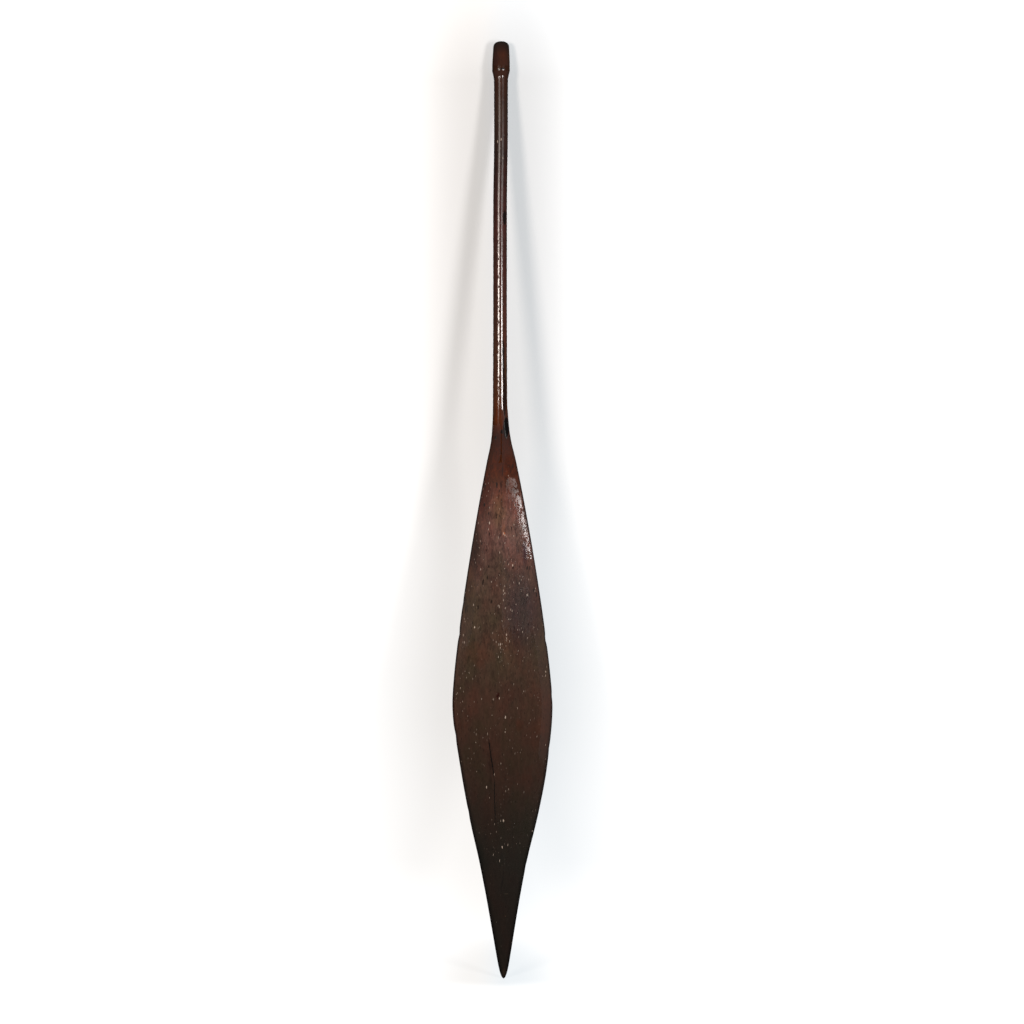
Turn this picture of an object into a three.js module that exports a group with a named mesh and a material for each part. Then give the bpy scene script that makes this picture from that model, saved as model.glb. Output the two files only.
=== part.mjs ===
// A plain hand-carved canoe paddle of dark hardwood. Blade, throat, shaft and knob are worked out of one
// length of timber, so the paddle is one closed solid, lofted through upright oval sections.
// It stands blade tip down. Millimetres: +Z runs from the tip to the butt, the face that is seen looks
// along -Y, and the origin is on the shaft's axis at the neck under the knob, where the paddle hangs.

import * as THREE from "three";

// Lengths along the timber, from the tip up
const noseLength = 32;
const tipToWidest = 467;
const widestToThroat = 453;
const throatLength = 68;
const shaftLength = 547;
const shoulderRise = 14.5;
const knobLength = 50.5;
const domeLength = 12;
const rimRounding = 1;

// Widths, left to right
const noseWidth = 21.4;
const bladeWidth = 171.2;
const throatWidth = 33.8;
const shaftFootWidth = 25.2;
const shaftWidth = 24.3;
const neckWidth = 23.9;
const knobRimWidth = 30.5;
const knobTopWidth = 27.5;

// Depths, front to back
const noseDepth = 6.4;
const bladeDepth = 12.5;
const throatDepth = 22;
const shaftDepth = 26;
const neckDepth = 24.6;
const knobRimDepth = 31;
const knobTopDepth = 28;

// Sideways wander of the hand-worked timber from the line of the upper shaft, right is positive
const tipSway = 4.3;
const lowerBladeSway = 3.35;
const midBladeSway = 4.7;
const widestSway = 2.4;
const shaftSway = -1.5;
const knobSway = 0.4;

// How lean a section is towards its edges: 1 is an ellipse, more thins the edge
const shaftLeanness = 1;
const bladeLeanness = 1.28;

// Rounding of the butt end, where 2 is an ellipse and more has a flatter top
const domeFullness = 2.6;

// The points that each section has, and the steps between sections
const pointsRound = 44;
const noseSteps = 6;
const bladeStep = 22;
const throatStep = 8.5;
const shaftStep = 42;
const knobStep = 4;
const domeSteps = 6;

// Heights above the tip where the shape changes
const widest = tipToWidest;
const throat = widest + widestToThroat;
const shaftFoot = throat + throatLength;
const neck = shaftFoot + shaftLength;
const knobRim = neck + shoulderRise;
const butt = knobRim + knobLength;
const domeStart = butt - domeLength;

// A height given as a share of the way from one height to another
function between(low, high, share) {
  return low + (high - low) * share;
}

// A smooth curve through points of [height, value] that never swings past them
function smoothThrough(points) {
  const last = points.length - 1;
  const rises = [];
  for (let i = 0; i < last; i += 1) {
    rises.push((points[i + 1][1] - points[i][1]) / (points[i + 1][0] - points[i][0]));
  }
  const slopes = points.map((point, i) => {
    if (i === 0) return rises[0];
    if (i === last) return rises[last - 1];
    if (rises[i - 1] * rises[i] <= 0) return 0;
    const before = point[0] - points[i - 1][0];
    const after = points[i + 1][0] - point[0];
    const weightBefore = (before + 2 * after) / rises[i - 1];
    const weightAfter = (2 * before + after) / rises[i];
    return (3 * (before + after)) / (weightBefore + weightAfter);
  });
  return (height) => {
    const at = THREE.MathUtils.clamp(height, points[0][0], points[last][0]);
    let i = 0;
    while (i < last - 1 && at > points[i + 1][0]) i += 1;
    const span = points[i + 1][0] - points[i][0];
    const t = (at - points[i][0]) / span;
    const ease = t * t * (3 - 2 * t);
    const leave = span * slopes[i] * t * (1 - t) * (1 - t);
    const arrive = span * slopes[i + 1] * t * t * (t - 1);
    return points[i][1] * (1 - ease) + points[i + 1][1] * ease + leave + arrive;
  };
}

// The leaf: it flares from the nose, swells to the widest place and runs nearly straight to the throat
const widthAt = smoothThrough([
  [noseLength, noseWidth],
  [between(0, widest, 0.29), bladeWidth * 0.329],
  [between(0, widest, 0.44), bladeWidth * 0.487],
  [between(0, widest, 0.58), bladeWidth * 0.668],
  [between(0, widest, 0.8), bladeWidth * 0.885],
  [widest, bladeWidth],
  [between(widest, throat, 0.1), bladeWidth * 0.965],
  [between(widest, throat, 0.25), bladeWidth * 0.876],
  [between(widest, throat, 0.55), bladeWidth * 0.645],
  [between(widest, throat, 0.92), bladeWidth * 0.29],
  [throat, throatWidth],
  [between(throat, shaftFoot, 0.27), between(shaftFootWidth, throatWidth, 0.5)],
  [shaftFoot, shaftFootWidth],
  [between(shaftFoot, neck, 0.3), shaftWidth],
  [between(shaftFoot, neck, 0.93), neckWidth],
  [neck, between(neckWidth, knobRimWidth, 0.07)],
  [between(neck, knobRim, 0.6), between(neckWidth, knobRimWidth, 0.55)],
  [knobRim - rimRounding, between(neckWidth, knobRimWidth, 0.94)],
  [knobRim, knobRimWidth],
  [between(knobRim, domeStart, 0.4), between(knobRimWidth, knobTopWidth, 0.22)],
  [domeStart, knobTopWidth],
]);

const depthAt = smoothThrough([
  [noseLength, noseDepth],
  [between(0, widest, 0.45), bladeDepth * 0.82],
  [widest, bladeDepth],
  [between(widest, throat, 0.7), between(bladeDepth, throatDepth, 0.32)],
  [throat, throatDepth],
  [shaftFoot, between(throatDepth, shaftDepth, 0.8)],
  [between(shaftFoot, neck, 0.3), shaftDepth],
  [between(shaftFoot, neck, 0.93), neckDepth],
  [neck, between(neckDepth, knobRimDepth, 0.07)],
  [between(neck, knobRim, 0.6), between(neckDepth, knobRimDepth, 0.55)],
  [knobRim - rimRounding, between(neckDepth, knobRimDepth, 0.94)],
  [knobRim, knobRimDepth],
  [between(knobRim, domeStart, 0.4), between(knobRimDepth, knobTopDepth, 0.22)],
  [domeStart, knobTopDepth],
]);

const swayAt = smoothThrough([
  [0, tipSway],
  [between(0, widest, 0.43), lowerBladeSway],
  [between(0, widest, 0.72), midBladeSway],
  [widest, widestSway],
  [between(widest, throat, 0.92), between(widestSway, shaftSway, 0.38)],
  [shaftFoot, shaftSway],
  [between(shaftFoot, neck, 0.62), shaftSway],
  [between(shaftFoot, neck, 0.82), 0],
  [neck, 0],
  [butt, knobSway],
]);

// The lean blade section grows out of the oval shaft below the throat
const leannessAt = smoothThrough([
  [0, shaftLeanness],
  [noseLength, between(shaftLeanness, bladeLeanness, 0.5)],
  [between(0, widest, 0.5), bladeLeanness],
  [widest, bladeLeanness],
  [between(widest, throat, 0.5), between(shaftLeanness, bladeLeanness, 0.35)],
  [throat, shaftLeanness],
  [butt, shaftLeanness],
]);

// The nose is a round-ended parabola and the butt a flattened dome
function roundingAt(height) {
  if (height < noseLength) return Math.sqrt(height / noseLength);
  if (height <= domeStart) return 1;
  const up = (height - domeStart) / domeLength;
  return (1 - up ** domeFullness) ** (1 / domeFullness);
}

// Section heights: even steps along each stretch, closing up towards the round ends
function evenHeights(low, high, step) {
  const count = Math.ceil((high - low) / step);
  return Array.from({ length: count }, (unused, i) => between(low, high, i / count));
}

function noseHeights() {
  return Array.from({ length: noseSteps }, (unused, i) => noseLength * ((i + 1) / (noseSteps + 1)) ** 2);
}

function domeHeights() {
  return Array.from({ length: domeSteps }, (unused, i) => {
    const turn = ((i + 1) / (domeSteps + 1)) * (Math.PI / 2);
    return domeStart + domeLength * Math.sin(turn);
  });
}

const sectionHeights = [
  ...noseHeights(),
  ...evenHeights(noseLength, between(widest, throat, 0.9), bladeStep),
  ...evenHeights(between(widest, throat, 0.9), shaftFoot, throatStep),
  ...evenHeights(shaftFoot, neck - shoulderRise, shaftStep),
  ...evenHeights(neck - shoulderRise, knobRim - rimRounding, knobStep),
  knobRim - rimRounding,
  knobRim,
  ...evenHeights(knobRim + rimRounding, domeStart, knobStep),
  domeStart,
  ...domeHeights(),
];

// One level section of the timber, its points counter-clockwise seen from the butt
function sectionAt(height) {
  const halfWidth = (widthAt(height) * roundingAt(height)) / 2;
  const halfDepth = (depthAt(height) * roundingAt(height)) / 2;
  return Array.from({ length: pointsRound }, (unused, i) => {
    const turn = (i / pointsRound) * 2 * Math.PI;
    const across = swayAt(height) + halfWidth * Math.cos(turn);
    const rise = Math.abs(Math.sin(turn)) ** leannessAt(height);
    const through = halfDepth * Math.sign(Math.sin(turn)) * rise;
    return [across, through, height - neck];
  });
}

// The skin over all the sections, closed by a fan at the tip and another at the butt
function loftedTimber() {
  const sections = sectionHeights.map(sectionAt);
  const tipPoint = [swayAt(0), 0, -neck];
  const buttPoint = [swayAt(butt), 0, butt - neck];
  const corners = [...sections.flat(), tipPoint, buttPoint];
  const tipIndex = corners.length - 2;
  const buttIndex = corners.length - 1;
  const topSection = (sections.length - 1) * pointsRound;
  const faces = [];
  for (let i = 0; i < pointsRound; i += 1) {
    const next = (i + 1) % pointsRound;
    faces.push(tipIndex, next, i);
    faces.push(buttIndex, topSection + i, topSection + next);
    for (let section = 0; section < topSection; section += pointsRound) {
      const above = section + pointsRound;
      faces.push(section + i, section + next, above + next);
      faces.push(section + i, above + next, above + i);
    }
  }
  const geometry = new THREE.BufferGeometry();
  geometry.setAttribute("position", new THREE.Float32BufferAttribute(corners.flat(), 3));
  geometry.setIndex(faces);
  geometry.computeVertexNormals();
  return geometry;
}

const darkTimber = new THREE.MeshStandardMaterial({ color: 0x45302a, roughness: 0.42, metalness: 0 });

const paddle = new THREE.Mesh(loftedTimber(), darkTimber);
paddle.name = "paddle";

const model = new THREE.Group();
model.add(paddle);

export default model;
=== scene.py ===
"""A hand-carved canoe paddle of dark oiled hardwood, upright on its tip before a pale studio wall."""

import math
from types import SimpleNamespace

import bmesh
import bpy
from mathutils import Matrix, Vector, noise


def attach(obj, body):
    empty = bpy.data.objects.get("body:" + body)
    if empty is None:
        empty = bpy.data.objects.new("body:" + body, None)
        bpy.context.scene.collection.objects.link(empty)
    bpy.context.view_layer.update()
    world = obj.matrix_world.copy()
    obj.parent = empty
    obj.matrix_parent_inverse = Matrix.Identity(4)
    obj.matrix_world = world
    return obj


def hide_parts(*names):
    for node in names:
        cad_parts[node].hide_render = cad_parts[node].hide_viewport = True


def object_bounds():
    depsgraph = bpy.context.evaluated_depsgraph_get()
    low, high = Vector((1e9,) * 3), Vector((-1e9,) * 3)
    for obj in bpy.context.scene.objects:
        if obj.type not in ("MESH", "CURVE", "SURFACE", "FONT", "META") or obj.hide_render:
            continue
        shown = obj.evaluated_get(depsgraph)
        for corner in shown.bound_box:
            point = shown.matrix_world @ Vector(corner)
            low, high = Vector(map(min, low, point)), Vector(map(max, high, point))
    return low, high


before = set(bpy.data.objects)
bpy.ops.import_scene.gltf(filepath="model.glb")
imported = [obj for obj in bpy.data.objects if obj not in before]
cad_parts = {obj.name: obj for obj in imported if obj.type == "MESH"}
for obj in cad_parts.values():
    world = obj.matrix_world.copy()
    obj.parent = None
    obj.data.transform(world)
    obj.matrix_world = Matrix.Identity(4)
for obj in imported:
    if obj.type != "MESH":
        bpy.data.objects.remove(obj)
cad_low, cad_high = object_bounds()

MM = 0.001
TIP_HEIGHT = cad_low.z
PADDLE_LENGTH = cad_high.z - cad_low.z

# The photograph's own places: the shaft's axis, the blade's tip, and the real size of one pixel
AXIS_PX = 500.5
TIP_PX = 978.5
PIXEL = 1.7076 * MM


def above_tip(height_mm):
    """The frame's height, in metres, of a place so many millimetres above the blade's tip."""
    return TIP_HEIGHT + height_mm * MM


def from_photo(across_px, down_px):
    """A pixel of the photograph as a place across and up the paddle's face, in metres."""
    return (across_px - AXIS_PX) * PIXEL, TIP_HEIGHT + (TIP_PX - down_px) * PIXEL


# Camera

CAMERA_DISTANCE = 3.8
CAMERA_SIDE = 18.75 * MM
CAMERA_HEIGHT = above_tip(796.6)
SENSOR_WIDTH = 36.0
PHOTO_WIDTH_AT_PADDLE = 1.7486


def make_camera():
    """Looks straight at the blade's face, with the photograph's framing."""
    data = bpy.data.cameras.new("camera")
    data.sensor_width = SENSOR_WIDTH
    data.lens = SENSOR_WIDTH * CAMERA_DISTANCE / PHOTO_WIDTH_AT_PADDLE
    camera = bpy.data.objects.new("camera", data)
    camera.location = (CAMERA_SIDE, -CAMERA_DISTANCE, CAMERA_HEIGHT)
    camera.rotation_euler = (math.pi / 2, 0, 0)
    bpy.context.scene.collection.objects.link(camera)
    bpy.context.scene.camera = camera


# Node helpers

# Where the Mix node has its sockets for colours
FIRST_COLOUR, SECOND_COLOUR, MIXED_COLOUR = 6, 7, 2

# The share of a strewn drop's reach over which its rim fades
DROP_RIM = 0.35


def wire(tree, source, target):
    """Joins a socket, or sets a plain value, on a node's input."""
    if isinstance(source, bpy.types.NodeSocket):
        tree.links.new(source, target)
    else:
        target.default_value = source


def maths(tree, operation, first, second=0.0, third=0.0, clamp=False):
    node = tree.nodes.new("ShaderNodeMath")
    node.operation = operation
    node.use_clamp = clamp
    for socket, value in zip(node.inputs, (first, second, third)):
        wire(tree, value, socket)
    return node.outputs[0]


def product(tree, *values):
    result = values[0]
    for value in values[1:]:
        result = maths(tree, "MULTIPLY", result, value)
    return result


def vector_maths(tree, operation, first, second, output="Vector"):
    node = tree.nodes.new("ShaderNodeVectorMath")
    node.operation = operation
    wire(tree, first, node.inputs[0])
    wire(tree, second, node.inputs[1])
    return node.outputs[output]


def between(tree, value, low, high, to_low=0.0, to_high=1.0):
    """Eases a value from one range to another and holds it at the ends."""
    node = tree.nodes.new("ShaderNodeMapRange")
    node.interpolation_type = "SMOOTHSTEP"
    wire(tree, value, node.inputs["Value"])
    wire(tree, low, node.inputs["From Min"])
    wire(tree, high, node.inputs["From Max"])
    wire(tree, to_low, node.inputs["To Min"])
    wire(tree, to_high, node.inputs["To Max"])
    return node.outputs["Result"]


def eased(tree, height, first_mm, second_mm, at_first=0.0, at_second=1.0):
    """A value that eases from one number at the first height above the tip to another at the second."""
    return between(tree, height, above_tip(first_mm), above_tip(second_mm), at_first, at_second)


def along(tree, height, stretch):
    """A mask of one stretch of the timber. Its heights above the tip: start, full, fading and end."""
    start, full, fading, end = stretch
    return product(tree, eased(tree, height, start, full), eased(tree, height, end, fading))


def ramp(tree, value, stops):
    node = tree.nodes.new("ShaderNodeValToRGB")
    elements = node.color_ramp.elements
    while len(elements) < len(stops):
        elements.new(0.5)
    while len(elements) > len(stops):
        elements.remove(elements[-1])
    for element, (position, colour) in zip(elements, stops):
        element.position = position
        element.color = (*colour, 1)
    wire(tree, value, node.inputs["Fac"])
    return node.outputs["Color"]


def mixed(tree, factor, first, second, blend="MIX"):
    node = tree.nodes.new("ShaderNodeMix")
    node.data_type = "RGBA"
    node.blend_type = blend
    wire(tree, factor, node.inputs["Factor"])
    for socket, value in ((FIRST_COLOUR, first), (SECOND_COLOUR, second)):
        if isinstance(value, tuple):
            value = (*value, 1)
        wire(tree, value, node.inputs[socket])
    return node.outputs[MIXED_COLOUR]


def tinted(tree, colour, tint):
    """A colour times a tint."""
    return mixed(tree, 1.0, colour, tint, "MULTIPLY")


def stretched(tree, where, cycles_across, cycles_along, shift=(0, 0, 0)):
    """Coordinates for a pattern drawn out along the timber, with so many cycles per metre."""
    node = tree.nodes.new("ShaderNodeMapping")
    node.inputs["Location"].default_value = shift
    node.inputs["Scale"].default_value = (cycles_across, cycles_across, cycles_along)
    wire(tree, where, node.inputs["Vector"])
    return node.outputs["Vector"]


def cloud(tree, where, detail, rough=0.5, distortion=0.0, output="Fac"):
    node = tree.nodes.new("ShaderNodeTexNoise")
    node.inputs["Scale"].default_value = 1.0
    node.inputs["Detail"].default_value = detail
    node.inputs["Roughness"].default_value = rough
    node.inputs["Distortion"].default_value = distortion
    wire(tree, where, node.inputs["Vector"])
    return node.outputs[output]


def scattered(tree, where, share, size):
    """Small drops strewn at random, one in some of the pattern's cells. Size is a share of a cell."""
    node = tree.nodes.new("ShaderNodeTexVoronoi")
    node.inputs["Scale"].default_value = 1.0
    wire(tree, where, node.inputs["Vector"])
    channels = tree.nodes.new("ShaderNodeSeparateColor")
    wire(tree, node.outputs["Color"], channels.inputs[0])
    reach = between(tree, channels.outputs["Red"], 1.0 - share, 1.0, 0.0, size)
    inside = maths(tree, "SUBTRACT", reach, node.outputs["Distance"])
    return between(tree, inside, 0.0, size * DROP_RIM)


# Timber finish

# Tone of the wood from the tip to the butt: millimetres above the tip and the colour there
TONES = (
    (0, (0.0122, 0.0086, 0.0064)),
    (130, (0.0118, 0.0083, 0.0062)),
    (200, (0.0110, 0.0090, 0.0067)),
    (270, (0.0162, 0.0110, 0.0076)),
    (340, (0.0282, 0.0157, 0.0108)),
    (475, (0.0447, 0.0237, 0.0163)),
    (545, (0.0465, 0.0288, 0.0200)),
    (610, (0.0500, 0.0310, 0.0215)),
    (680, (0.0610, 0.0350, 0.0265)),
    (750, (0.0785, 0.0400, 0.0335)),
    (820, (0.0790, 0.0320, 0.0240)),
    (860, (0.0570, 0.0140, 0.0040)),
    (925, (0.0260, 0.0064, 0.0014)),
    (955, (0.059, 0.0165, 0.0060)),
    (1000, (0.062, 0.0210, 0.0100)),
    (1060, (0.058, 0.0215, 0.0130)),
    (1150, (0.051, 0.0185, 0.0140)),
    (1260, (0.046, 0.0158, 0.0135)),
    (1400, (0.028, 0.0125, 0.0102)),
    (1475, (0.036, 0.0178, 0.0130)),
    (1540, (0.030, 0.0125, 0.0068)),
    (1575, (0.033, 0.0118, 0.0043)),
    # The last two rows darken the knob's domed top as painted shade, where it turns away from the lamps
    (1587, (0.015, 0.0044, 0.0010)),
    (1598, (0.008, 0.0040, 0.0026)),
)

# What the tone is times: broad blotches, the grain's light and dark, and the blade's rim, darker as
# painted shade
BLOTCH_HUES = ((0.36, (0.86, 0.99, 0.90)), (0.5, (1, 1, 1)), (0.63, (1.15, 0.97, 0.96)))
GRAIN_SHADES = (
    (0.28, (0.48, 0.47, 0.47)),
    (0.40, (0.74, 0.74, 0.74)),
    (0.60, (1.30, 1.26, 1.21)),
    (0.72, (1.60, 1.55, 1.45)),
)
RIM_SHADE = (0.32, 0.32, 0.36)

# The same where the wood has lost its shine, so that dull and shiny places match in this light
DULL_ON_BLADE = (0.91, 0.81, 0.77)
DULL_ABOVE = (0.88, 0.62, 0.35)

# Colours of the marks, and how strongly open pores and pits show
# Stains and cracks take this colour, and so do the painted shade under the knob's rim and the painted
# dark reflection down the shaft's right side
STAIN_AND_PAINTED_SHADE = (0.004, 0.003, 0.003)
OPEN_PORE = (0.006, 0.004, 0.003)
PORE_STRENGTH = 0.5
PIT = (0.008, 0.005, 0.004)
PIT_STRENGTH = 0.9
PALE_DUST = (0.49, 0.39, 0.32)

# Patterns: cycles per metre across and along the grain, and a shift that tells them apart
JITTER = (90, 40)
BLOTCHES = (30, 14, (3.1, 0, 0))
STREAKS = (110, 12)
MOTTLE = (150, 62, (0, 5, 2))
FINE_LINES = (400, 120)
CLUMPS = (34, 22, (0, 7, 0))
FILLED_PORES = (460, 150, (5, 0, 0))
STREWN_PORES = (260, 80, (0, 0, 9))
OPEN_PORES = (400, 110)
PITS_BESIDE_PORES = (460, 150, (5.6, 0, 0))
PITS_IN_FIGURE = (250, 70, (3, 0, 4))
RAGGED = (330, 170, (4, 1, 0))
RIPPLE = (300, 170, (2, 4, 0))

# How far, in metres, the jitter shifts soft patches and small marks
PATCH_JITTER = (0.012, 0, 0.03)
MARK_JITTER = (0.003, 0, 0.012)

# A patch that reaches no further than this, in pixels, is laid without jitter
SMALLEST_JITTERED = 2

# Pale flecks in open pores, given in pixels of the photograph, the plainest ones first
BRIGHT_FLECKS = (
    (474, 627), (506, 635), (502, 846), (500.8, 141.5), (486, 788), (500, 644), (512, 565), (499, 699),
    (505, 717), (489, 523), (503, 820), (497, 142),
)
PLAIN_FLECKS = (
    (498, 656), (545, 672), (499, 606), (463, 635), (505, 607), (464, 642), (500, 647), (503, 533),
    (519, 583), (502.5, 158), (491, 583), (503, 599), (503, 591), (505, 732), (506, 639), (527, 594),
    (514, 505), (499, 860), (473, 605),
)
FAINT_FLECKS = (
    (522, 632), (498, 537), (545, 745), (492, 634), (489, 797), (493, 699), (498.5, 644), (510, 610),
    (528, 580), (508, 476), (504, 586), (485, 470), (494, 774), (517, 708), (527, 638), (493, 855),
    (460, 687), (513, 583), (508, 790), (480, 540), (478, 523), (464, 619), (523, 691), (481, 698),
)

# How far each kind of fleck reaches, in millimetres, and how strongly it shows
FLECK_KINDS = (
    (BRIGHT_FLECKS, 0.95, 0.85),
    (PLAIN_FLECKS, 0.85, 0.52),
    (FAINT_FLECKS, 0.75, 0.38),
)

# How many times longer than wide a fleck is, and the share of its reach that is full
FLECK_STRETCH = 3.2
FLECK_CORE = 0.4

# Pores filled with dust: strengths, how they brighten upwards, and where they crowd on the face
FILLED_STRENGTH = 0.42
STREWN_STRENGTH = 0.26
BRIGHTER_UPWARDS = (480, 680, 1.0, 1.45)
CLUMP_RANGE = (0.42, 0.66)
CROWDED_STRETCH = (60, 420, 760, 980)
CROWDED_PLACE = ((506, 615), (22, 80))
FIGURED_STRETCH = (540, 680, 860, 900)

# A drying crack's tapers, as shares of its length, and how soft its sides are
CRACK_TOP_TAPER = 0.25
CRACK_FOOT_TAPER = 0.4
CRACK_SOFTNESS = 0.3 * MM


def placed_flecks(tree, ruffled, front, places_px, reach_mm):
    """A mask of small upright drops at the places given, on the face that the photograph shows."""
    flat = tree.nodes.new("ShaderNodeMapping")
    flat.inputs["Scale"].default_value = (1 / MM, 0, 1 / MM / FLECK_STRETCH)
    wire(tree, ruffled, flat.inputs["Vector"])
    nearest = None
    for across_px, down_px in places_px:
        across, height = from_photo(across_px, down_px)
        centre = (across / MM, 0, height / MM / FLECK_STRETCH)
        gap = vector_maths(tree, "DISTANCE", flat.outputs["Vector"], centre, output="Value")
        nearest = gap if nearest is None else maths(tree, "MINIMUM", nearest, gap)
    return product(tree, between(tree, nearest, reach_mm, reach_mm * FLECK_CORE), front)


def patch(tree, wavy, front, centre_px, reach_px, fade):
    """A mask of one soft-edged patch: 1 inside it, 0 beyond its reach across and along, in pixels."""
    across, height = from_photo(*centre_px)
    reach_across, reach_along = reach_px[0] * PIXEL, reach_px[1] * PIXEL
    node = tree.nodes.new("ShaderNodeMapping")
    node.inputs["Location"].default_value = (-across / reach_across, 0, -height / reach_along)
    node.inputs["Scale"].default_value = (1 / reach_across, 0, 1 / reach_along)
    wire(tree, wavy, node.inputs["Vector"])
    gap = vector_maths(tree, "LENGTH", node.outputs["Vector"], (0, 0, 0), output="Value")
    return product(tree, between(tree, gap, 1.0, 1.0 - fade), front)


def drying_crack(tree, wavy_across, height, front, top_px, foot_px, half_width_mm):
    """A thin crack along the grain that leans from one place to another and tapers out at both ends."""
    top_across, top_height = from_photo(*top_px)
    foot_across, foot_height = from_photo(*foot_px)
    line = between(tree, height, foot_height, top_height, foot_across, top_across)
    off = maths(tree, "ABSOLUTE", maths(tree, "SUBTRACT", wavy_across, line))
    length = top_height - foot_height
    upper = between(tree, height, top_height, top_height - CRACK_TOP_TAPER * length)
    lower = between(tree, height, foot_height, foot_height + CRACK_FOOT_TAPER * length)
    width = product(tree, upper, lower, half_width_mm * MM)
    inside = maths(tree, "SUBTRACT", width, off)
    cut = between(tree, inside, -CRACK_SOFTNESS, CRACK_SOFTNESS)
    return product(tree, cut, upper, lower, front)


# Patches of another tint: centre and reach in pixels of the photograph, and what the tone is times
TINTS = (
    ((522, 612), (26, 52), (0.72, 0.72, 0.98)),
    ((468, 585), (11, 46), (0.74, 0.74, 0.62)),
    # These two darken the blade's left flank as painted shade, against the grey shine of its dull wood
    ((484, 494), (9, 36), (0.58, 0.43, 0.36)),
    ((475, 545), (11, 38), (0.46, 0.37, 0.31)),
    ((491, 762), (4, 36), (0.78, 0.76, 0.78)),
    # Painted shade along the lower blade's left rim
    ((479, 862), (8, 34), (0.70, 0.72, 0.74)),
    # These two lighten the upper blade's middle and right as a painted broad sheen from the right lamps
    ((493, 512), (18, 46), (1.20, 1.22, 1.20)),
    ((509, 530), (19, 42), (1.42, 1.46, 1.50)),
    ((499, 510), (9, 28), (1.0, 1.07, 0.92)),
    ((503, 530), (2.2, 7), (1.15, 1.05, 0.86)),
    ((500.6, 484.5), (1.5, 5.5), (0.30, 0.15, 0.06)),
    ((503.6, 533.6), (1.2, 2.2), (2.2, 1.5, 0.9)),
    ((524, 553), (3, 18), (0.50, 0.42, 0.66)),
    ((478, 655), (22, 16), (1.22, 0.95, 0.90)),
    ((505, 655), (14, 40), (1.10, 1.12, 1.05)),
    ((538, 728), (12, 12), (1.18, 1.00, 0.94)),
    ((498, 697), (2.5, 6), (0.60, 0.25, 0.25)),
    ((519, 724), (5, 8), (1.15, 0.90, 0.86)),
    ((508, 695), (20, 30), (0.86, 0.92, 0.95)),
    ((506, 893.4), (3.2, 0.6), (3.0, 3.0, 3.0)),
    ((504.9, 915.7), (0.9, 1.2), (3.4, 3.0, 2.6)),
    ((504, 973), (9, 5), (1.9, 1.7, 1.5)),
    ((497, 440), (7, 40), (1.15, 1.0, 0.85)),
    # Painted reflection: the shaft's right side paler and greyer
    ((506, 325), (3, 50), (1.50, 1.32, 1.45)),
    ((496, 405), (3, 24), (1.30, 1.08, 0.90)),
    ((495, 60), (5, 14), (0.85, 0.60, 0.75)),
    ((500, 57), (3, 10), (1.10, 1.12, 1.0)),
    ((503.5, 52), (2.6, 9), (1.22, 1.10, 0.80)),
    # Painted reflection: the knob's right edge paler and bluer
    ((508, 57), (2, 14), (1.0, 1.35, 1.9)),
)

# Stains, and places of painted shade and painted dark reflection: centre and reach in pixels of the
# photograph, and how dark each is
DARK_PLACES = (
    # These three are painted dark reflection down the shaft's right side to the throat, where it turns
    # away from the lamps
    ((502.8, 360), (1.4, 24), 0.85),
    ((504.0, 396), (1.9, 26), 0.80),
    ((505.5, 427.5), (3.5, 12.5), 1.0),
    ((503.8, 219), (1.9, 8), 0.9),
    ((501.5, 432), (1.6, 2.4), 0.9),
    ((495.2, 438), (1.2, 2.0), 0.9),
    # Painted shade under the knob's rim, where its shoulder faces down
    ((500.5, 70.8), (4.8, 0.8), 1.0),
)

# Drying cracks: top and foot in pixels of the photograph, and half the width in millimetres
CRACKS = (
    ((488, 730), (494.4, 790), 0.95),
    ((494.2, 770), (494.6, 842), 0.7),
    ((503.3, 864), (500.8, 898), 0.5),
    ((502.2, 464), (501.6, 480), 0.4),
)

# Dull wood lies in stretches, given as heights above the tip: start, full, fading and end
LEFT_FLANK = (540, 600, 935, 955)
RIGHT_FLANK = (330, 420, 700, 735)
BROKEN_SHEEN = (520, 620, 850, 870)
BROKEN_SHAFT = (960, 985, 1300, 1400)
UNDER_KNOB = (1520, 1530, 1547, 1549)

# Where the left and the right side begin, and how far in from the edge each flank is dull
LEFT_SIDE = -0.5 * MM
RIGHT_SIDE = 1.5 * MM
LEFT_FLANK_REACH = (27 * MM, 15 * MM)
RIGHT_FLANK_REACH = (22 * MM, 15 * MM)

# How likely broken places are to be dull, from one height, or one side, to another
SHEEN_LIKELY = (640, 780, 0.55, 0.47)
SHAFT_LIKELY = (-1.5 * MM, 1.0 * MM, 0.45, 0.37)
COLLAR_LIKELY = (1538, 1543, 0.44, 1.0)

# The throat is dull down to a foot that is higher in the sheen, and on the left only low down
THROAT_TOP = (980, 962)
THROAT_LEFT_TOP = (890, 872)
THROAT_FOOT = above_tip(812)
THROAT_FOOT_IN_SHEEN = above_tip(838)
THROAT_FADE = 32 * MM
SHEEN_ACROSS = (4 * MM, 12 * MM)
SHEEN_OFF_EDGE = (5 * MM, 9 * MM)
KNOB_START = (1555, 1558)

# Likelihood and ragged pattern add up, and the wood turns dull within this range of the sum
DULL_RANGE = (0.99, 1.03)

# Only this near to the edge do the dark places keep their gloss, as the painted dark reflection at the
# throat's right edge does
GLOSSY_DARK_PLACES = (9 * MM, 7 * MM)

# Below the throat the timber is blade
BLADE_BEGINS = (930, 820)


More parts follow.
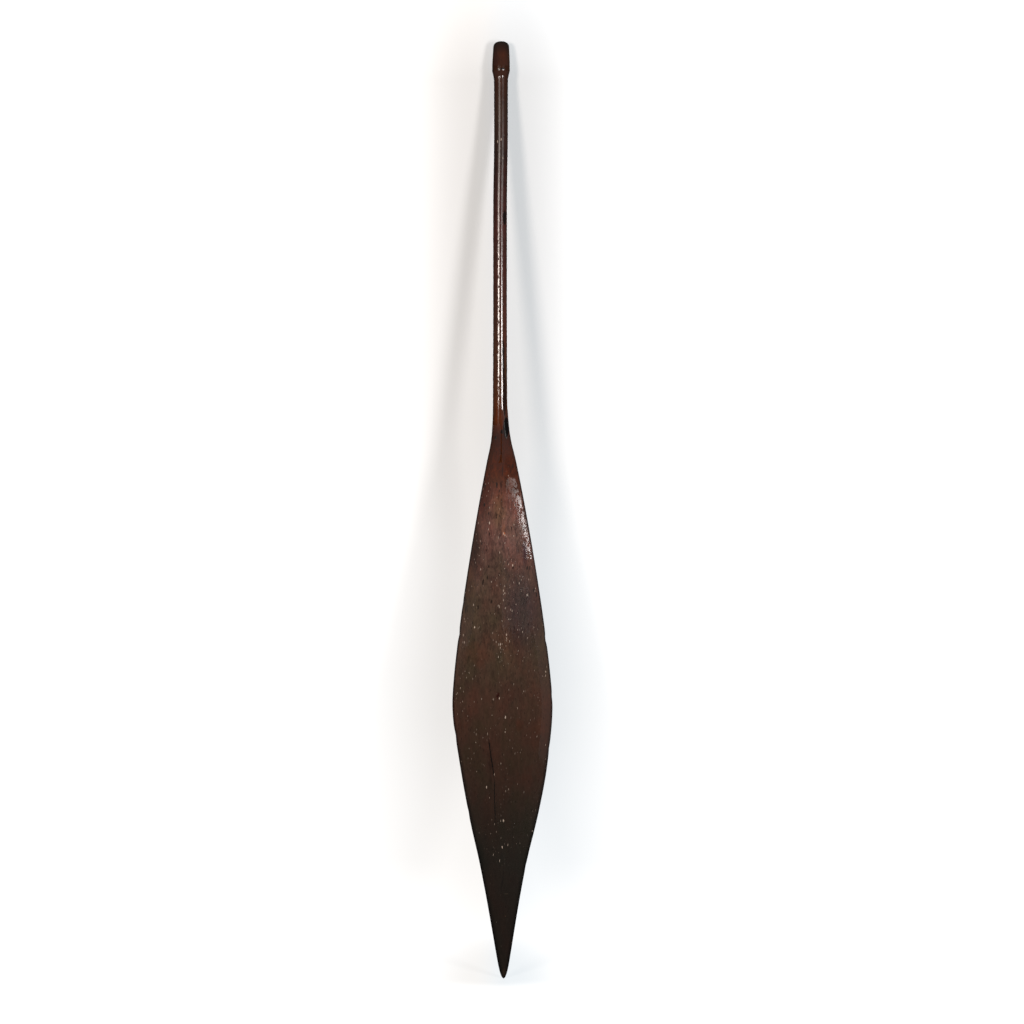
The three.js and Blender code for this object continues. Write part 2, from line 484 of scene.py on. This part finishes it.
def surface_places(tree):
    """What the finish is laid out by, each a socket: places, heights and the parts of the paddle."""
    place = tree.nodes.new("ShaderNodeTexCoord").outputs["Object"]
    parts = tree.nodes.new("ShaderNodeSeparateXYZ")
    wire(tree, place, parts.inputs[0])
    height = parts.outputs["Z"]
    edge = tree.nodes.new("ShaderNodeAttribute")
    edge.attribute_name = "edge_distance"

    jitter = cloud(tree, stretched(tree, place, *JITTER), detail=3, output="Color")
    jitter = vector_maths(tree, "SUBTRACT", jitter, (0.5, 0.5, 0.5))
    wavy = vector_maths(tree, "ADD", place, vector_maths(tree, "MULTIPLY", jitter, PATCH_JITTER))
    ruffled = vector_maths(tree, "ADD", place, vector_maths(tree, "MULTIPLY", jitter, MARK_JITTER))
    ruffled_parts = tree.nodes.new("ShaderNodeSeparateXYZ")
    wire(tree, ruffled, ruffled_parts.inputs[0])
    return SimpleNamespace(
        place=place,
        across=parts.outputs["X"],
        height=height,
        front=maths(tree, "LESS_THAN", parts.outputs["Y"], 0.0),
        on_blade=eased(tree, height, *BLADE_BEGINS),
        edge_distance=edge.outputs["Fac"],
        wavy=wavy,
        ruffled=ruffled,
        ruffled_across=ruffled_parts.outputs["X"],
    )


def toned_wood(tree, at):
    """Tone along the timber, then broad patches of redder and greener wood."""
    share = maths(tree, "DIVIDE", maths(tree, "SUBTRACT", at.height, TIP_HEIGHT), PADDLE_LENGTH)
    wood = ramp(tree, share, [(mm * MM / PADDLE_LENGTH, colour) for mm, colour in TONES])
    blotches = cloud(tree, stretched(tree, at.place, *BLOTCHES), detail=5, rough=0.6)
    wood = tinted(tree, wood, ramp(tree, blotches, BLOTCH_HUES))
    for centre_px, reach_px, tint in TINTS:
        laid = at.wavy if min(reach_px) > SMALLEST_JITTERED else at.place
        mask = patch(tree, laid, at.front, centre_px, reach_px, fade=0.8)
        wood = mixed(tree, mask, wood, tinted(tree, wood, tint))
    return wood


# What each pattern adds to the grain
STREAK_SHARE = 0.2
MOTTLE_SHARE = 0.53
FINE_SHARE = 0.27


def grain_of(tree, at):
    """Streaks, the mottle that a scraper leaves and fine broken lines. Gives all of it and the lines."""
    streaks = cloud(tree, stretched(tree, at.place, *STREAKS), detail=5, rough=0.6, distortion=0.8)
    mottle = cloud(tree, stretched(tree, at.place, *MOTTLE), detail=4, rough=0.65, distortion=1.2)
    fine = cloud(tree, stretched(tree, at.place, *FINE_LINES), detail=4, rough=0.7, distortion=0.8)
    grain = product(tree, streaks, STREAK_SHARE)
    grain = maths(tree, "MULTIPLY_ADD", mottle, MOTTLE_SHARE, grain)
    return maths(tree, "MULTIPLY_ADD", fine, FINE_SHARE, grain), fine


def dark_marks(tree, at):
    """A mask of stains, painted shade, painted dark reflection and drying cracks."""
    dark = None
    for centre_px, reach_px, strength in DARK_PLACES:
        mask = patch(tree, at.ruffled, at.front, centre_px, reach_px, fade=0.3)
        mask = product(tree, mask, strength)
        dark = mask if dark is None else maths(tree, "MAXIMUM", dark, mask)
    for top_px, foot_px, half_width in CRACKS:
        crack = drying_crack(
            tree, at.ruffled_across, at.height, at.front, top_px, foot_px, half_width
        )
        dark = maths(tree, "MAXIMUM", dark, crack)
    return dark


def pale_flecks(tree, at):
    """A mask of filled pores, strewn and placed by eye, and a mask of where they crowd."""
    clumps = cloud(tree, stretched(tree, at.place, *CLUMPS), detail=2)
    thick = patch(tree, at.wavy, at.front, *CROWDED_PLACE, fade=0.7)
    crowd = product(
        tree,
        maths(tree, "MAXIMUM", between(tree, clumps, *CLUMP_RANGE), thick),
        along(tree, at.height, CROWDED_STRETCH),
    )
    filled = scattered(tree, stretched(tree, at.ruffled, *FILLED_PORES), share=0.50, size=0.30)
    filled = product(tree, filled, crowd, FILLED_STRENGTH)
    strewn = scattered(tree, stretched(tree, at.ruffled, *STREWN_PORES), share=0.10, size=0.22)
    strewn = product(tree, strewn, at.on_blade, STREWN_STRENGTH)
    flecks = maths(tree, "MAXIMUM", filled, strewn)
    flecks = product(tree, flecks, eased(tree, at.height, *BRIGHTER_UPWARDS))
    for places_px, reach_mm, strength in FLECK_KINDS:
        mask = placed_flecks(tree, at.ruffled, at.front, places_px, reach_mm)
        flecks = maths(tree, "MAXIMUM", flecks, product(tree, mask, strength))
    return flecks, crowd


def open_pits(tree, at, crowd):
    """A mask of dark pits: one beside many a filled pore, more of them where the wood is figured."""
    beside = scattered(tree, stretched(tree, at.ruffled, *PITS_BESIDE_PORES), share=0.50, size=0.30)
    figured = scattered(tree, stretched(tree, at.wavy, *PITS_IN_FIGURE), share=0.45, size=0.36)
    return maths(
        tree,
        "MAXIMUM",
        product(tree, beside, crowd),
        product(tree, figured, along(tree, at.height, FIGURED_STRETCH)),
    )


def dull_throat(tree, at, right):
    """How likely the throat is to be dull."""
    in_sheen = product(
        tree,
        between(tree, at.across, *SHEEN_ACROSS),
        between(tree, at.edge_distance, *SHEEN_OFF_EDGE),
    )
    foot = between(tree, in_sheen, 0.0, 1.0, THROAT_FOOT, THROAT_FOOT_IN_SHEEN)
    return product(
        tree,
        eased(tree, at.height, *THROAT_TOP),
        between(tree, at.height, foot, maths(tree, "ADD", foot, THROAT_FADE)),
        maths(tree, "MAXIMUM", right, eased(tree, at.height, *THROAT_LEFT_TOP)),
    )


def dull_places(tree, at):
    """A ragged mask of wood that has lost its shine, by how likely each place is to be dull."""
    ragged = cloud(tree, stretched(tree, at.place, *RAGGED), detail=4, rough=0.6)
    left = maths(tree, "LESS_THAN", at.across, LEFT_SIDE)
    right = maths(tree, "GREATER_THAN", at.across, RIGHT_SIDE)
    zones = (
        product(
            tree,
            left,
            between(tree, at.edge_distance, *LEFT_FLANK_REACH),
            along(tree, at.height, LEFT_FLANK),
        ),
        product(
            tree,
            right,
            between(tree, at.edge_distance, *RIGHT_FLANK_REACH),
            along(tree, at.height, RIGHT_FLANK),
        ),
        product(
            tree,
            right,
            along(tree, at.height, BROKEN_SHEEN),
            eased(tree, at.height, *SHEEN_LIKELY),
        ),
        product(
            tree,
            along(tree, at.height, BROKEN_SHAFT),
            between(tree, at.across, *SHAFT_LIKELY),
        ),
        product(
            tree,
            along(tree, at.height, UNDER_KNOB),
            eased(tree, at.height, *COLLAR_LIKELY),
        ),
        eased(tree, at.height, *KNOB_START),
    )
    likely = dull_throat(tree, at, right)
    for zone in zones:
        likely = maths(tree, "MAXIMUM", likely, zone)
    dull = between(tree, maths(tree, "ADD", likely, ragged), *DULL_RANGE)
    return product(tree, dull, at.front)


def wood_marks(tree, at):
    """The masks of stains with painted shade and dark reflection, filled pores, open pores and pits, and
    of wood that has lost its shine.
    """
    dark = dark_marks(tree, at)
    flecks, crowd = pale_flecks(tree, at)
    glossy_dark_places = product(tree, dark, between(tree, at.edge_distance, *GLOSSY_DARK_PLACES))
    not_glossy_dark = maths(tree, "SUBTRACT", 1.0, glossy_dark_places)
    return SimpleNamespace(
        dark=dark,
        flecks=flecks,
        dull=product(tree, dull_places(tree, at), not_glossy_dark),
        pores=scattered(tree, stretched(tree, at.place, *OPEN_PORES), share=0.5, size=0.34),
        pits=open_pits(tree, at, crowd),
    )


# How lively the grain's light and dark is, on the way up the blade and again at the throat
FIGURE_ON_BLADE = (420, 720, 0.55, 1.7)
FIGURE_AT_THROAT = (940, 860, 0.5, 1.0)

# Where the worn tone changes from the blade's to the shaft's, and how wide the rim of painted shade is
WORN_TONE_CHANGE = (840, 880)
RIM_WIDTH = (300, 560, 8 * MM, 4.2 * MM)
RIM_DARKEST = 1.0 * MM


def wood_colour(tree, at, grain, marks):
    """The grain over the tone, rims darker as painted shade, stains and the painted shade of the marks
    darker, pores dark or filled with pale dust.
    """
    figure = product(
        tree,
        eased(tree, at.height, *FIGURE_ON_BLADE),
        eased(tree, at.height, *FIGURE_AT_THROAT),
    )
    off_middle = maths(tree, "SUBTRACT", grain, 0.5)
    lively = maths(tree, "MULTIPLY_ADD", off_middle, figure, 0.5)
    wood = tinted(tree, toned_wood(tree, at), ramp(tree, lively, GRAIN_SHADES))
    upward = eased(tree, at.height, *WORN_TONE_CHANGE)
    worn = mixed(tree, upward, DULL_ON_BLADE, DULL_ABOVE)
    wood = mixed(tree, marks.dull, wood, tinted(tree, wood, worn))
    # Painted shade along the blade's rim, where the edges turn away from the lamps
    rim_width = eased(tree, at.height, *RIM_WIDTH)
    rim = product(tree, between(tree, at.edge_distance, rim_width, RIM_DARKEST), at.on_blade)
    wood = mixed(tree, rim, wood, tinted(tree, wood, RIM_SHADE))
    # Stains and cracks, and the painted shade and painted dark reflection among the dark places
    wood = mixed(tree, marks.dark, wood, STAIN_AND_PAINTED_SHADE)
    wood = mixed(tree, product(tree, marks.pores, PORE_STRENGTH), wood, OPEN_PORE)
    wood = mixed(tree, product(tree, marks.pits, PIT_STRENGTH), wood, PIT)
    return mixed(tree, marks.flecks, wood, PALE_DUST)


# Roughness along the handled shaft, and what the blade, the head of its sheen and each mark add to it
SHAFT_ROUGHNESS = (1100, 1350, 0.12, 0.22)
BLADE_ROUGHER = (900, 820, 0.0, 0.05)
SHEEN_HEAD = (800, 845, 875, 900)
SHEEN_HEAD_ROUGHER = 0.28
GRAIN_ROUGHER = 0.12
FLECKS_ROUGHER = 0.3
DULL_ROUGHER = 0.75


def wood_roughness(tree, at, grain, marks):
    """Oil and handling leave the shaft glossier than the blade, and worn places are dull."""
    roughness = eased(tree, at.height, *SHAFT_ROUGHNESS)
    roughness = maths(tree, "ADD", roughness, eased(tree, at.height, *BLADE_ROUGHER))
    sheen_head = product(
        tree,
        between(tree, at.across, *SHEEN_ACROSS),
        along(tree, at.height, SHEEN_HEAD),
    )
    for mask, rougher in (
        (sheen_head, SHEEN_HEAD_ROUGHER),
        (maths(tree, "SUBTRACT", grain, 0.5), GRAIN_ROUGHER),
        (marks.flecks, FLECKS_ROUGHER),
    ):
        roughness = maths(tree, "MULTIPLY_ADD", mask, rougher, roughness)
    return maths(tree, "MULTIPLY_ADD", marks.dull, DULL_ROUGHER, roughness, clamp=True)


# Relief in millimetres: the ripple by height and near the right edge, and less of it above the throat
RIPPLE_UP_BLADE = (540, 640, 0.14, 0.27)
RIPPLE_AT_RIGHT_EDGE = (18 * MM, 8 * MM, 0.12, 0.34)
RIPPLE_LEFT_ON_SHAFT = (850, 960, 1.0, 0.15)
FINE_RELIEF = 0.03
PORE_RELIEF = -0.05
CUT_RELIEF = -0.04


def wood_relief(tree, at, fine, marks):
    """The normal of the scraper's ripple and the fine grain, with pores sunk and cracks cut."""
    ripple = cloud(tree, stretched(tree, at.place, *RIPPLE), detail=2, rough=0.5)
    right_edge = product(
        tree,
        between(tree, at.edge_distance, *RIPPLE_AT_RIGHT_EDGE),
        maths(tree, "GREATER_THAN", at.across, 0.0),
    )
    depth = product(
        tree,
        maths(tree, "MAXIMUM", right_edge, eased(tree, at.height, *RIPPLE_UP_BLADE)),
        eased(tree, at.height, *RIPPLE_LEFT_ON_SHAFT),
    )
    relief = product(tree, ripple, depth)
    for mask, rise in ((fine, FINE_RELIEF), (marks.pores, PORE_RELIEF), (marks.dark, CUT_RELIEF)):
        relief = maths(tree, "MULTIPLY_ADD", mask, rise, relief)
    bump = tree.nodes.new("ShaderNodeBump")
    bump.inputs["Strength"].default_value = 1.0
    bump.inputs["Distance"].default_value = MM
    wire(tree, relief, bump.inputs["Height"])
    return bump.outputs["Normal"]


# The oil's shine, a little under that of varnish
OIL_SHINE = 0.38


def hardwood():
    """Dark oiled hardwood, red at the throat and near black at the tip, with grain along the paddle."""
    material = bpy.data.materials.new("oiled_hardwood")
    material.use_nodes = True
    tree = material.node_tree
    shader = tree.nodes["Principled BSDF"]
    at = surface_places(tree)
    grain, fine = grain_of(tree, at)
    marks = wood_marks(tree, at)
    wire(tree, wood_colour(tree, at, grain, marks), shader.inputs["Base Color"])
    wire(tree, wood_roughness(tree, at, grain, marks), shader.inputs["Roughness"])
    wire(tree, wood_relief(tree, at, fine, marks), shader.inputs["Normal"])
    shader.inputs["Specular IOR Level"].default_value = OIL_SHINE
    return material


# Timber shape

MERGE_DISTANCE = 0.001 * MM
LEVEL_TOLERANCE = 0.01 * MM
ROUNDING_LEVELS = 2

# Small knocks in the blade's edges: the side, -1 for left, the photograph's row, and depth and
# length in millimetres
EDGE_KNOCKS = (
    (-1, 634, 1.2, 7),
    (-1, 735, 1.0, 9),
    (-1, 603, 0.5, 5),
    (-1, 812, 0.6, 6),
    (1, 639, 1.3, 8),
    (1, 696, 0.7, 6),
    (1, 748, 0.6, 7),
    (1, 866, 0.5, 5),
)

# How far in from the edge a knock is felt, and at how many of its lengths along the edge it ends
KNOCK_REACH = 7 * MM
KNOCK_FARTHEST = 3

# The scraper's ripple: cycles per metre round and along the timber, and each wave's share of it
RIPPLE_DEPTH = 0.24 * MM
SLOW_ROUND, SLOW_ALONG, SLOW_SHARE = 38, 9, 0.7
QUICK_ROUND, QUICK_ALONG, QUICK_SHARE = 95, 26, 0.3
QUICK_SHIFT = 7

# Long flats round the shaft, the first one's turn in radians, and how they wander along it
FLAT_DEPTH = 0.10 * MM
FLATS_ROUND = 12
FIRST_FLAT = 2.64
FLATS_START = 930
FLATS_FULL = 1000
WANDER_ALONG, WANDER_SHIFT = 6, 3


def is_level(edge):
    return abs(edge.verts[0].co.z - edge.verts[1].co.z) < LEVEL_TOLERANCE


def bridged_timber():
    """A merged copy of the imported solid, its level rings bridged with four-sided faces."""
    timber = bmesh.new()
    timber.from_mesh(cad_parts["paddle"].data)
    bmesh.ops.remove_doubles(timber, verts=timber.verts, dist=MERGE_DISTANCE)
    ends = {
        min(timber.verts, key=lambda vert: vert.co.z),
        max(timber.verts, key=lambda vert: vert.co.z),
    }
    rings = [edge for edge in timber.edges if is_level(edge)]
    between_rings = [edge for edge in timber.edges if not is_level(edge) and not ends & set(edge.verts)]
    bmesh.ops.delete(timber, geom=between_rings, context="EDGES")
    bmesh.ops.bridge_loops(timber, edges=rings)
    bmesh.ops.recalc_face_normals(timber, faces=timber.faces)
    return timber


def rounded(timber):
    """The same mesh after two rounds of subdivision, fitted back to the solid's own reach."""
    mesh = bpy.data.meshes.new("blank")
    timber.to_mesh(mesh)
    timber.free()
    blank = bpy.data.objects.new("blank", mesh)
    bpy.context.scene.collection.objects.link(blank)
    surface = blank.modifiers.new("round", "SUBSURF")
    surface.levels = ROUNDING_LEVELS
    surface.render_levels = ROUNDING_LEVELS
    depsgraph = bpy.context.evaluated_depsgraph_get()
    smooth = bmesh.new()
    smooth.from_mesh(blank.evaluated_get(depsgraph).data)
    bpy.data.objects.remove(blank)
    for axis in range(3):
        low = min(vert.co[axis] for vert in smooth.verts)
        high = max(vert.co[axis] for vert in smooth.verts)
        stretch = (cad_high[axis] - cad_low[axis]) / (high - low)
        for vert in smooth.verts:
            vert.co[axis] = cad_low[axis] + (vert.co[axis] - low) * stretch
    return smooth


def row_of(height):
    """The level row of points that a height is in, by whole micrometres."""
    return round(height / MM * 1000)


def row_reaches(timber):
    """The left and right reach of each level row of points."""
    reaches = {}
    for vert in timber.verts:
        row = row_of(vert.co.z)
        left, right = reaches.get(row, (vert.co.x, vert.co.x))
        reaches[row] = (min(left, vert.co.x), max(right, vert.co.x))
    return reaches


def ripple_at(across, through, height):
    """How deep the scraper's ripple is here."""
    slow = Vector((across * SLOW_ROUND, through * SLOW_ROUND, height * SLOW_ALONG))
    quick = Vector((across * QUICK_ROUND + QUICK_SHIFT, through * QUICK_ROUND, height * QUICK_ALONG))
    wave = SLOW_SHARE * noise.noise(slow) + QUICK_SHARE * noise.noise(quick)
    return RIPPLE_DEPTH * (0.5 + 0.5 * wave)


def flat_at(turn, height):
    """How deep the shaft's long flats are at this turn round it. They fade out at the blade."""
    on_shaft = (height - above_tip(FLATS_START)) / (above_tip(FLATS_FULL) - above_tip(FLATS_START))
    on_shaft = min(max(on_shaft, 0), 1)
    wander = noise.noise(Vector((0, WANDER_SHIFT, height * WANDER_ALONG)))
    return FLAT_DEPTH * on_shaft * (0.5 + 0.5 * math.cos(FLATS_ROUND * turn + FIRST_FLAT + wander))


def knocked_in(off_middle, edge_distance, height):
    """How far the knocks of use move a point across, given how far it is off the row's middle."""
    move = 0.0
    near = max(0.0, 1 - edge_distance / KNOCK_REACH)
    for side, row_px, depth, length in EDGE_KNOCKS:
        off = (height - from_photo(AXIS_PX, row_px)[1]) / (length * MM)
        if abs(off) <= KNOCK_FARTHEST and side * off_middle >= 0:
            move -= side * depth * MM * math.exp(-off * off) * near * near
    return move


def worked_by_hand(timber):
    """Leaves the scraper's ripples, long flats and the knocks of use, all cut into the surface."""
    timber.normal_update()
    reaches = row_reaches(timber)
    edge_layer = timber.verts.layers.float.new("edge_distance")
    moves = []
    for vert in timber.verts:
        across, through, height = vert.co
        left, right = reaches[row_of(height)]
        off_middle = across - (left + right) / 2
        edge_distance = min(across - left, right - across)
        vert[edge_layer] = edge_distance
        turn = math.atan2(through, off_middle)
        move = vert.normal * -(ripple_at(across, through, height) + flat_at(turn, height))
        move.x += knocked_in(off_middle, edge_distance, height)
        moves.append((vert, move))
    for vert, move in moves:
        vert.co += move
        for axis in range(3):
            vert.co[axis] = min(max(vert.co[axis], cad_low[axis]), cad_high[axis])
    return timber


def make_paddle():
    timber = worked_by_hand(rounded(bridged_timber()))
    mesh = bpy.data.meshes.new("carved_paddle")
    timber.to_mesh(mesh)
    timber.free()
    mesh.shade_smooth()
    mesh.materials.append(hardwood())
    paddle = bpy.data.objects.new("carved_paddle", mesh)
    bpy.context.scene.collection.objects.link(paddle)
    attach(paddle, "root")
    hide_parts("paddle")


# Stage

LEAN = math.radians(12)
WALL_HALF_WIDTH = 1.6
WALL_HALF_HEIGHT = 2.2
FLOOR_REACH = 12.0

# Paper: the share of light that it throws back, its own glow for the camera, and how far from the paddle
# it has faded to white. On the wall each is given by millimetres above the tip. The lower glow near the
# paddle paints a grey halo of shade round it, and the wall's glow rises towards the floor as painted
# light
FLOOR_PAINT = 0.15
FLOOR_GLOW = 0.84
FLOOR_FADE = 150 * MM
WALL_PAINT = ((680, 0.22), (960, 0.34))
WALL_GLOW = (
    (0, 0.83), (150, 0.78), (270, 0.74), (420, 0.67), (680, 0.645), (960, 0.445),
    (1540, 0.45), (1568, 0.495), (1609, 0.55), (1657, 0.62), (1720, 0.70),
)
WALL_FADE = (
    (0, 150 * MM), (30, 180 * MM), (78, 240 * MM), (154, 330 * MM), (500, 330 * MM), (750, 260 * MM),
)

# Where the fade to white starts, and where it is centred, across from the paddle's axis
FADE_START = 35 * MM
FADE_CENTRE = -10 * MM

# The fade is slower towards the wall than towards the camera
FADE_BEHIND = 0.25
FADE_BEFORE = -1.5

# Painted light: the glow is faintly warm on the left and cool on the right, as the lamps' colours would
# tint the shadows, and changes behind the paddle
LEFT_GLOW = (1.0, 0.985, 0.965)
RIGHT_GLOW = (0.915, 0.965, 1.0)
GLOW_CHANGE = (-50 * MM, 15 * MM)
WHITE = (1, 1, 1)

# The height, in millimetres above the tip, that the wall's values are laid out over
WALL_TOP = 2200


def graded(tree, height, stops):
    """A value that changes with the height: millimetres above the tip and the value there."""
    share = maths(tree, "DIVIDE", maths(tree, "SUBTRACT", height, TIP_HEIGHT), WALL_TOP * MM)
    return ramp(tree, share, [(mm / WALL_TOP, (value, value, value)) for mm, value in stops])


def pale_paper(name, paint_share, glow, fade, one_sided=False):
    """White where it is lit and soft grey in the shadows. The glow is there for the camera alone; lower
    near the paddle, it paints a grey halo of shade, and its warm and cool hues are painted lamp colour.
    """
    material = bpy.data.materials.new(name)
    material.use_nodes = True
    tree = material.node_tree
    tree.nodes.clear()
    place = tree.nodes.new("ShaderNodeNewGeometry").outputs["Position"]
    parts = tree.nodes.new("ShaderNodeSeparateXYZ")
    wire(tree, place, parts.inputs[0])
    across, through, height = (parts.outputs[axis] for axis in "XYZ")
    paint_share, glow, fade = (graded(tree, height, stops) for stops in (paint_share, glow, fade))
    off = maths(tree, "SUBTRACT", across, FADE_CENTRE)
    behind = product(tree, through, FADE_BEHIND)
    deep = maths(tree, "MAXIMUM", behind, product(tree, through, FADE_BEFORE))
    aside = maths(tree, "SQRT", maths(tree, "MULTIPLY_ADD", off, off, product(tree, deep, deep)))
    far = between(tree, aside, FADE_START, fade)
    glow = maths(tree, "MULTIPLY_ADD", maths(tree, "SUBTRACT", 1.0, glow), far, glow)
    hue = mixed(tree, between(tree, across, *GLOW_CHANGE), LEFT_GLOW, RIGHT_GLOW)
    hue = mixed(tree, far, hue, WHITE)

    paint = tree.nodes.new("ShaderNodeBsdfDiffuse")
    wire(tree, paint_share, paint.inputs["Color"])
    light = tree.nodes.new("ShaderNodeEmission")
    path = tree.nodes.new("ShaderNodeLightPath")
    wire(tree, hue, light.inputs["Color"])
    wire(tree, product(tree, path.outputs["Is Camera Ray"], glow), light.inputs["Strength"])
    both = tree.nodes.new("ShaderNodeAddShader")
    wire(tree, paint.outputs[0], both.inputs[0])
    wire(tree, light.outputs[0], both.inputs[1])
    surface = both.outputs[0]
    if one_sided:
        clear = tree.nodes.new("ShaderNodeBsdfTransparent")
        choose = tree.nodes.new("ShaderNodeMixShader")
        wire(tree, tree.nodes.new("ShaderNodeNewGeometry").outputs["Backfacing"], choose.inputs[0])
        wire(tree, surface, choose.inputs[1])
        wire(tree, clear.outputs[0], choose.inputs[2])
        surface = choose.outputs[0]
    output = tree.nodes.new("ShaderNodeOutputMaterial")
    wire(tree, surface, output.inputs["Surface"])
    return material


def sheet(name, half_width, half_height, place, material):
    """A flat rectangle of the stage, its mesh already in place."""
    panel = bmesh.new()
    bmesh.ops.create_grid(panel, x_segments=1, y_segments=1, size=1)
    sized = place @ Matrix.Diagonal((half_width, half_height, 1, 1))
    bmesh.ops.transform(panel, matrix=sized, verts=panel.verts)
    mesh = bpy.data.meshes.new(name)
    panel.to_mesh(mesh)
    panel.free()
    mesh.materials.append(material)
    thing = bpy.data.objects.new(name, mesh)
    bpy.context.scene.collection.objects.link(thing)
    return thing


def make_stage():
    floor_place = Matrix.Translation((0, 0, TIP_HEIGHT))
    floor_stops = (((0, FLOOR_PAINT),), ((0, FLOOR_GLOW),), ((0, FLOOR_FADE),))
    floor_paper = pale_paper("floor_paper", *floor_stops)
    sheet("floor", FLOOR_REACH, FLOOR_REACH, floor_place, floor_paper)

    touch = Vector((0, cad_high.y, cad_high.z))
    facing = Matrix.Rotation(math.pi / 2 + LEAN, 4, "X")
    wall_place = Matrix.Translation(touch) @ facing
    wall_paper = pale_paper("wall_paper", WALL_PAINT, WALL_GLOW, WALL_FADE, one_sided=True)
    wall = sheet("wall", WALL_HALF_WIDTH, WALL_HALF_HEIGHT, wall_place, wall_paper)
    wall.visible_shadow = False
    wall.visible_diffuse = False
    wall.visible_glossy = False


# Light

WARM = (1.0, 0.89, 0.81)
PALE = (1.0, 0.97, 0.955)

# Lamps: width and height in metres, azimuth in degrees, distance in metres, millimetres above the
# tip that each hangs at, watts, millimetres above the tip that it is aimed at, and its colour
LAMPS = (
    ("left_softbox", 0.46, 0.60, -26, 2.3, 1352, 33, 900, WARM),
    ("high_left_softbox", 0.60, 0.36, -26, 2.3, 1770, 3.5, 900, WARM),
    ("right_softbox", 0.44, 0.52, 33, 2.3, 1240, 28, 900, PALE),
    ("high_right_softbox", 0.60, 0.44, 33, 2.3, 1680, 1.6, 900, PALE),
    ("low_right_softbox", 0.40, 0.29, 30, 2.3, 762, 10.5, 740, PALE),
    ("back_softbox", 1.9, 2.4, 180, 2.6, 1100, 40, 800, WHITE),
)

# The room's own light on the paddle
ROOM_LIGHT = 0.06


def softbox(name, width, height, azimuth, distance, above, power, aim_above, tint):
    """An oval lamp aimed at the paddle. Azimuth 0 is the camera's side, and right is positive."""
    data = bpy.data.lights.new(name, "AREA")
    data.shape = "ELLIPSE"
    data.size = width
    data.size_y = height
    data.energy = power
    data.color = tint
    lamp = bpy.data.objects.new(name, data)
    turn = math.radians(azimuth)
    lamp.location = (distance * math.sin(turn), -distance * math.cos(turn), above_tip(above))
    aim = Vector((0, 0, above_tip(aim_above))) - lamp.location
    lamp.rotation_euler = aim.to_track_quat("-Z", "Y").to_euler()
    lamp.visible_camera = False
    bpy.context.scene.collection.objects.link(lamp)


def make_light():
    for lamp in LAMPS:
        softbox(*lamp)

    world = bpy.data.worlds.new("studio")
    world.use_nodes = True
    tree = world.node_tree
    background = tree.nodes["Background"]
    path = tree.nodes.new("ShaderNodeLightPath")
    strength = maths(tree, "MAXIMUM", path.outputs["Is Camera Ray"], ROOM_LIGHT)
    wire(tree, strength, background.inputs["Strength"])
    background.inputs["Color"].default_value = (*WHITE, 1)
    bpy.context.scene.world = world


make_camera()
make_stage()
make_light()
make_paddle()

bpy.context.scene.view_settings.view_transform = "Standard"
